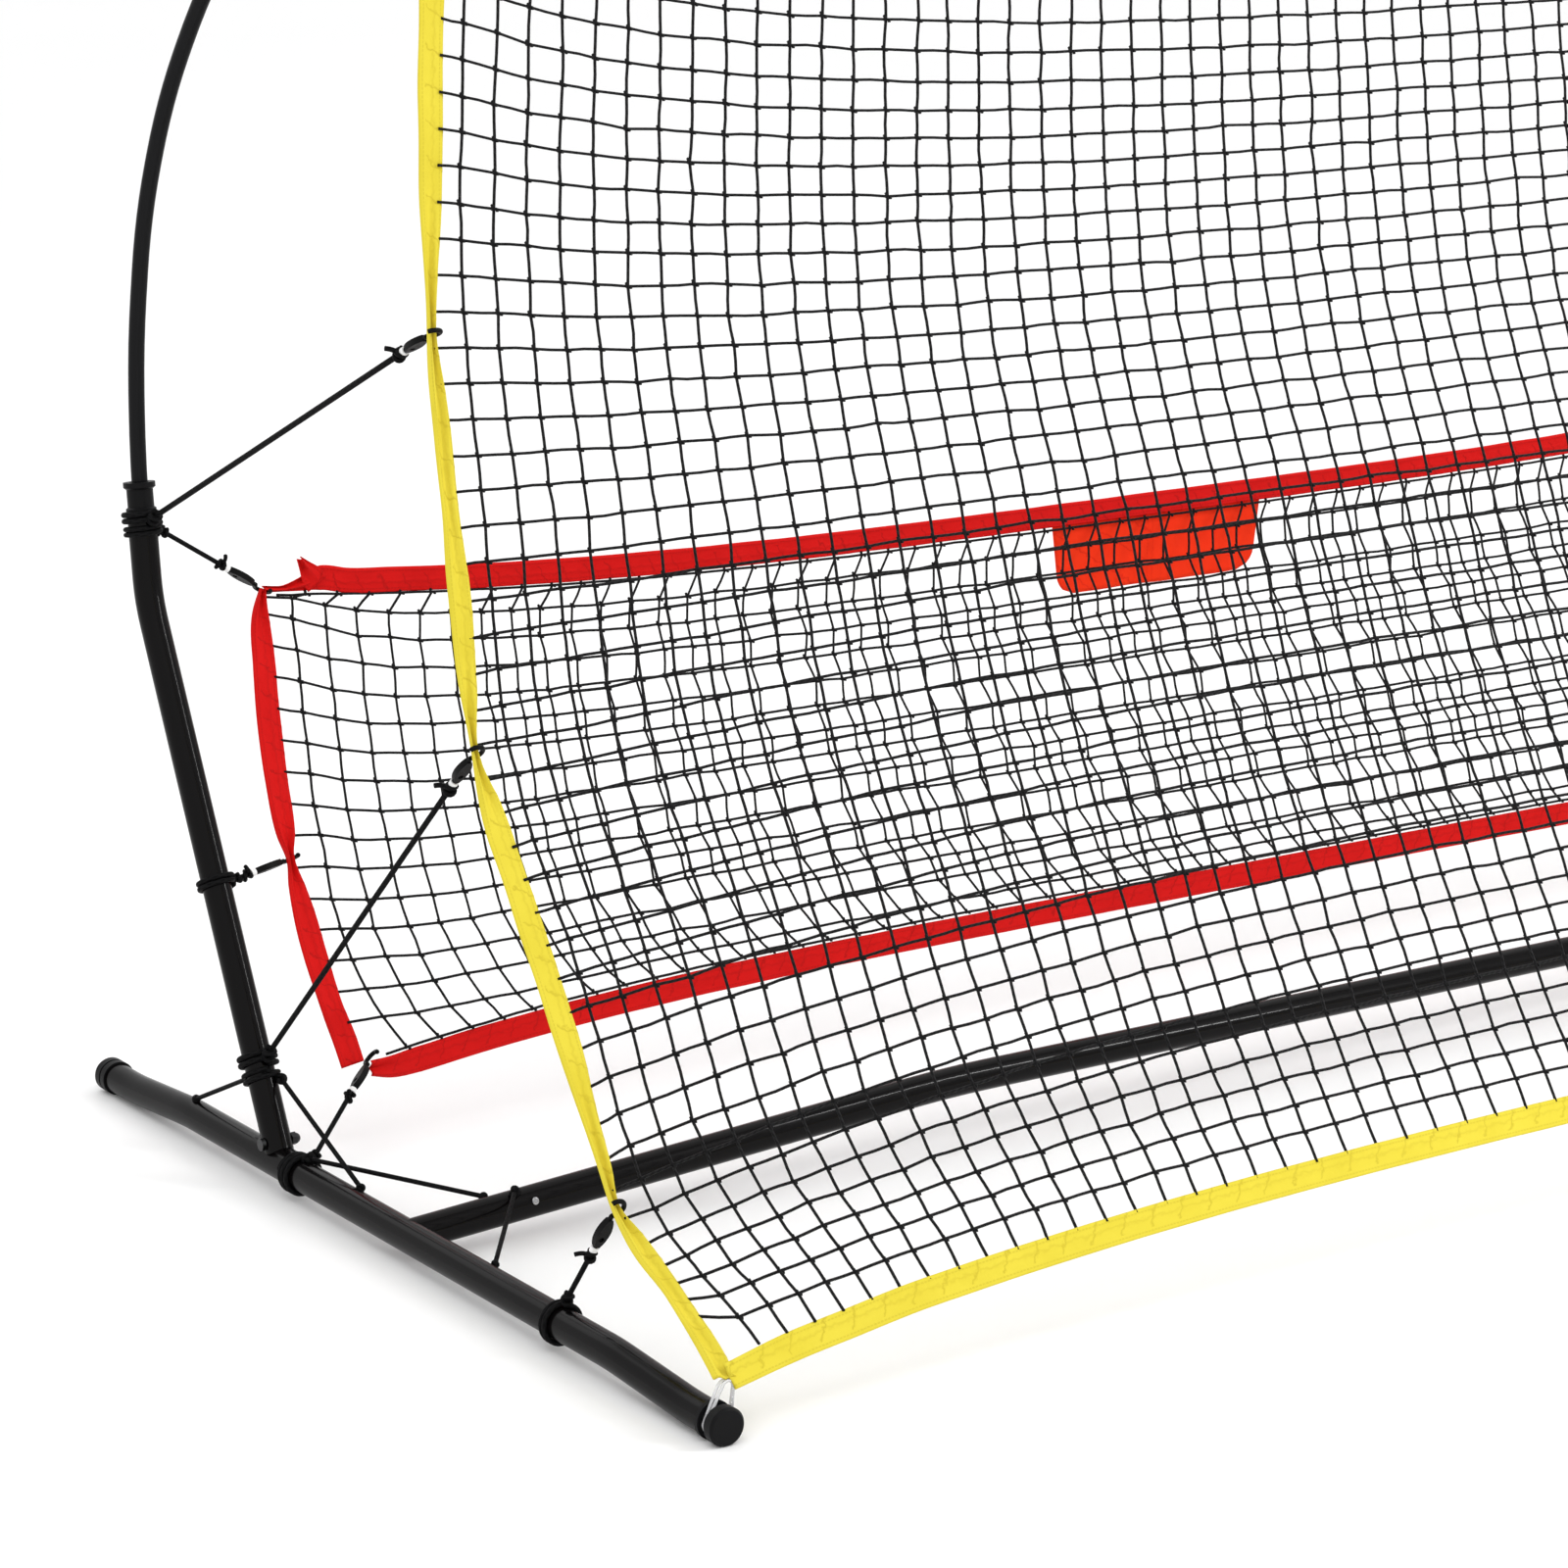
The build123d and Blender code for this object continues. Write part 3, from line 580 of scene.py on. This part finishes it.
hem("red_hem_top",
    row_hem(REAR_LEVELS[0], (0, 0, HEM_GAP), REAR_POWER[0], 0.93,
            [(1.048, 0.4468, 0.5235, 0.025), (1.072, 0.4465, 0.5195, 0.0135),
             (1.088, 0.4470, 0.5175, 0.0065), (1.110, 0.4478, 0.5195, 0.006)]),
    (0, 0, 1), RED, COLUMN_PITCH, "rear_hem_top")
hem("red_hem_bottom",
    row_hem(REAR_LEVELS[-1], (0, -0.003, -HEM_GAP), REAR_POWER[1], 0.97,
            [(1.098, 0.2350, 0.0860, 0.021), (1.119, 0.2355, 0.0880, 0.015)]),
    (0, -0.003, -HEM_GAP), RED, COLUMN_PITCH, "rear_hem_bottom")


# ---- hanging flap ----
def flap():
    """A short sheet with rounded lower corners that hangs from the rear net's top band."""
    columns, rows = 57, 15
    u = np.linspace(-1, 1, columns)
    v = np.linspace(0, 1, rows)
    height = FLAP_TOP - FLAP_BOTTOM
    corner = 0.022
    drop = v * height
    arc = np.sqrt(np.clip(corner ** 2 - (drop - height + corner) ** 2, 0, None))
    half = np.where(drop > height - corner, FLAP_W / 2 - corner + arc, FLAP_W / 2)
    x = u[None, :] * (half - 0.008 * v)[:, None]
    z = FLAP_TOP - v[:, None] * height + 0 * x
    y = FLAP_Y - 0.0008 - v[:, None] * (0.0016 * np.sin(x / 0.031) + 0.0012 * np.sin(x / 0.0127 + 1))
    rim = 1 + 0.5 * np.clip(1 - np.minimum(FLAP_W / 2 - np.abs(x), z - FLAP_BOTTOM) / 0.008, 0, 1)
    front = np.stack([x + FLAP_X, y - 0.0006 * rim, z], -1).reshape(-1, 3)
    back = np.stack([x + FLAP_X, y + 0.0006 * rim, z], -1).reshape(-1, 3)
    i, k = np.meshgrid(np.arange(rows - 1), np.arange(columns - 1), indexing="ij")
    at = i * columns + k
    quads = np.stack([at, at + columns, at + columns + 1, at + 1], -1).reshape(-1, 4)
    shift = rows * columns
    faces = quads.tolist() + (quads[:, ::-1] + shift).tolist()
    edge = list(range(columns)) + [r * columns + columns - 1 for r in range(1, rows)]
    edge += [(rows - 1) * columns + k for k in range(columns - 2, -1, -1)]
    edge += [r * columns for r in range(rows - 2, 0, -1)]
    faces += [[a, b, b + shift, a + shift] for a, b in zip(edge, edge[1:] + edge[:1])]
    vertices = np.concatenate([front, back])
    chart = np.array([(vertices[k][0], vertices[k][2]) for face in faces for k in face])
    return vertices, faces, chart


flap_piece = make("hanging_flap", [flap()], ORANGE, body="label_flap",
                  stands_for=["label_flap"])


# ---- cords ----
LEAN = unit(BEND - np.array([0, FOOT_Y, SIDE_Z]))
TOP_DIR = unit(UPRIGHT_TOP - BEND)
ALONG = np.array([0.0, 1, 0])
UP = np.array([0.0, 0, 1])


def foot_point(x, height):
    return point(x, FOOT_Y, SIDE_Z) + LEAN * height


def bar_point(x):
    rise = (BAR_Z - SIDE_Z) / (HALF_SPAN - BAR_BEND_X)
    return point(x, BAR_Y, SIDE_Z + (HALF_SPAN - abs(x)) * rise)


def from_axis(centre, axis, target, distance):
    away = target - centre
    return centre + unit(away - axis * away.dot(axis)) * distance


def wraps(centre, axis, toward, around, wire, turns):
    """Turns of cord wound round a tube, that start and end on the side that faces a point."""
    start = unit(from_axis(centre, axis, toward, 1.0) - centre)
    other = np.cross(axis, start)
    angle = np.linspace(0, 2 * math.pi * turns, int(28 * turns) + 1)
    climb = (angle / (2 * math.pi) - turns / 2) * wire * 2.15
    return centre + axis * climb[:, None] + around * (
        np.cos(angle)[:, None] * start + np.sin(angle)[:, None] * other)


def knot(centre, direction, size):
    """An overhand knot drawn tight round a cord."""
    direction = unit(direction)
    side = unit(np.cross(direction, [0.3, 0.5, 0.81]))
    other = np.cross(direction, side)
    angle = np.linspace(0, 3.7 * math.pi, 34)
    reach = size * (0.82 + 0.20 * np.cos(1.5 * angle))
    climb = size * 0.95 * np.sin(0.62 * angle + 0.3)
    return centre + direction * climb[:, None] + reach[:, None] * (
        np.cos(angle)[:, None] * side + np.sin(angle)[:, None] * other)


def tail(start, direction, bend, length):
    """A short free end that curls away from its knot."""
    share = np.linspace(0, 1, 7)[:, None]
    return start + direction * share * length + bend * share ** 2 * length * 0.5


def straight(start, end, pieces=8):
    return start + (end - start) * np.linspace(0, 1, pieces)[:, None]


def cord_shapes(paths, radius, sides=10):
    return [tubes([path], radius, sides) for path in paths]


def hook_frame(start, hem_point, hem_dir):
    along = unit(hem_point - start)
    across = unit(hem_dir - along * hem_dir.dot(along))
    return hem_point - along * HOOK_LEN, along, across


def bungee_plan(side):
    """Each bungee's name and plan.

    The plan is the tube's point, direction and radius, the hem's point and direction, and the cord radius.
    """
    x = side * HALF_SPAN
    top = UPRIGHT_TOP + point(x, 0, 0)
    front = [point(side * s[0], s[1], s[2]) for s in FRONT_SIDE_HEM]
    rear = [point(side * s[0], s[1], s[2]) for s in REAR_SIDE_HEM]

    def row(name, centre, axis, tube_r, hem_points, i, cord_r):
        hem_dir = unit(hem_points[max(i - 1, 0)] - hem_points[min(i + 1, len(hem_points) - 1)])
        return name, (centre, axis, tube_r, hem_points[i], hem_dir, cord_r)

    return [
        row("front_upper", top - TOP_DIR * 0.031, TOP_DIR, UPRIGHT_R, front, 4, THICK_CORD_R),
        row("front_middle", foot_point(x, 0.101), LEAN, UPRIGHT_R, front, 8, THICK_CORD_R),
        row("front_lower", point(x, -0.308, SIDE_Z), ALONG, TUBE_R, front, 12, CORD_R),
        row("rear_upper", top - TOP_DIR * 0.043, TOP_DIR, UPRIGHT_R, rear, 0, CORD_R),
        row("rear_middle", foot_point(x, 0.275), LEAN, UPRIGHT_R, rear, 5, CORD_R),
        row("rear_lower", point(x, 0.166, SIDE_Z), ALONG, TUBE_R, rear, 10, CORD_R)]


def bungee_shapes(centre, axis, tube_r, hem_point, hem_dir, wire):
    around = tube_r + wire + 0.0002
    start = from_axis(centre, axis, hem_point, around)
    origin, along, across = hook_frame(start, hem_point, hem_dir)
    end_knot = origin - along * 0.011
    sideways = unit(np.cross(along, across) + across * 0.6)
    paths = [wraps(centre, axis, hem_point, around, wire, 2.0),
             straight(start, origin + along * 0.009),
             knot(start + along * wire * 2.2, along, wire * 1.9),
             knot(end_knot, along, wire * 1.75),
             tail(end_knot + sideways * wire * 1.6, sideways, -along, 0.009)]
    radii = [wire, wire, wire * 0.95, wire * 0.9, wire * 0.85]
    return [tubes([path], radius, 10) for path, radius in zip(paths, radii)]


def guy_shapes(centre, axis, tube_r, turns, end, end_axis_point):
    """A cord from a loop round one tube, or a knot under it, to the side of another tube."""
    around = tube_r + CORD_R + 0.0002
    start = from_axis(centre, axis, end, around)
    out = unit(end - end_axis_point)
    tied = end_axis_point + out * (TUBE_R + CORD_R * 0.8)
    direction = unit(tied - start)
    paths = [straight(start - direction * CORD_R, tied),
             knot(start + direction * CORD_R * 2, direction, CORD_R * 1.5),
             knot(tied, direction, CORD_R * 0.9)]
    if turns:
        paths.append(wraps(centre, axis, end, around, CORD_R, turns))
    return cord_shapes(paths, CORD_R * 0.95)


def guy_plan(side):
    x = side * HALF_SPAN
    bar_dir = unit(bar_point(side * 1.1) - bar_point(side * 1.2))
    rear_end = point(x, 0.373, SIDE_Z)
    front_end = point(x, 0.060, SIDE_Z)
    bar_end = bar_point(side * 1.151)
    tube_end = point(x, -0.174, SIDE_Z)
    inner = point(-side, 0, 0)
    return [
        (foot_point(x, 0.088), LEAN, UPRIGHT_R, 1.0, rear_end + UP, rear_end),
        (foot_point(x, 0.082), LEAN, UPRIGHT_R, 1.0, front_end + UP + inner * 0.6, front_end),
        (point(x, 0.156, SIDE_Z), ALONG, TUBE_R, 1.0, bar_end + UP + ALONG, bar_end),
        (bar_point(side * 1.125), bar_dir, TUBE_R, 0, tube_end + UP * 0.7 + inner, tube_end)]


def corner_loop_shapes(side):
    """A clear elastic band, doubled, from the front cap's groove up through the net's corner."""
    centre = point(side * HALF_SPAN, -TUBE_END - 0.0085, END_Z)
    around = 0.011 + LOOP_R
    low = [(around * math.cos(a), around * math.sin(a)) for a in np.linspace(math.pi, 2 * math.pi, 17)]
    shapes = []
    for shift, pinch in ((-0.0019, 0.45), (0.0019, 0.62)):
        share = np.linspace(0.1, 0.9, 7)
        rise = [(around * (1 - (1 - pinch) * t), 0.030 * t) for t in share]
        over = [(around * pinch * math.cos(a), 0.028 + around * 0.5 * math.sin(a))
                for a in np.linspace(0, math.pi, 11)]
        fall = [(-x, z) for x, z in rise[::-1]]
        ring = np.array([(x - side * 0.009 * np.clip(z / 0.03, 0, 1), 0, z)
                         for x, z in low + rise + over + fall])
        ring = np.concatenate([ring, ring[:1]])
        shapes.append(tubes([ring + centre + point(0, shift, 0)], 0.00115, 8, flat=1.5))
    return shapes


def tip_loop_shapes(side):
    points = [point(side * x, y, z) for x, y, z in POLE_END]
    direction = unit(points[1] - points[0])
    centre = points[1] - direction * 0.034
    around = POLE_R + CORD_R + 0.0002
    x, y, z = FRONT_SIDE_HEM[0][:3]
    corner = point(side * x, y, z + 0.005)
    start = from_axis(centre, direction, corner, around)
    inward = unit(corner - start)
    paths = [wraps(centre, direction, corner, around, CORD_R, 2.0), straight(start, corner - UP * 0.004),
             knot(start + inward * 0.005, inward, CORD_R * 1.7),
             tail(start + inward * 0.005, unit(UP - inward * 0.3), inward, 0.009)]
    return cord_shapes(paths, CORD_R * 0.95)


for side, word in ((-1, "left"), (1, "right")):
    for name, plan in bungee_plan(side):
        make("elastic_" + name + "_" + word, bungee_shapes(*plan), BRAID,
             stands_for=["bungee_" + name + "_" + word])
    shapes = [shape for plan in guy_plan(side) for shape in guy_shapes(*plan)]
    make("ties_" + word, shapes, BRAID, stands_for=["guy_cords_" + word])
    make("clear_band_" + word, corner_loop_shapes(side), CLEAR,
         stands_for=["corner_loop_" + word])
    make("tip_tie_" + word, tip_loop_shapes(side), BRAID, stands_for=["tip_loop_" + word])


# ---- floor and lights ----
floor_mesh = bpy.data.meshes.new("floor")
floor_mesh.from_pydata([(-40, -40, 0), (40, -40, 0), (40, 40, 0), (-40, 40, 0)], [], [(0, 1, 2, 3)])
floor = bpy.data.objects.new("floor", floor_mesh)
bpy.context.scene.collection.objects.link(floor)
pale = Nodes("pale_floor")
floor_mesh.materials.append(pale.finish(
    Base_Color=pale.blend(pale.noise(0.8, 2), (0.93, 0.93, 0.93), (0.95, 0.95, 0.95)), Roughness=0.55))

world = bpy.data.worlds.new("studio")
bpy.context.scene.world = world
world.use_nodes = True
world.node_tree.nodes["Background"].inputs[0].default_value = (1, 1, 1, 1)
world.node_tree.nodes["Background"].inputs[1].default_value = 1.06


def softbox(name, place, target, size, power):
    light = bpy.data.lights.new(name, "AREA")
    light.shape = "RECTANGLE"
    light.size, light.size_y = size
    light.energy = power
    lamp = bpy.data.objects.new(name, light)
    bpy.context.scene.collection.objects.link(lamp)
    lamp.location = place
    lamp.rotation_euler = (Vector(target) - Vector(place)).to_track_quat("-Z", "Y").to_euler()


softbox("key", (-2.5, -1.5, 4.0), (0, 0, 0.3), (3.0, 2.0), 30)
softbox("strip", (1.45, -2.0, 2.4), (-1.24, 0.3, 0.3), (0.14, 2.2), 48)
softbox("back", (-1.0, 4.0, 3.0), (0, 0, 0.5), (4.0, 1.5), 14)
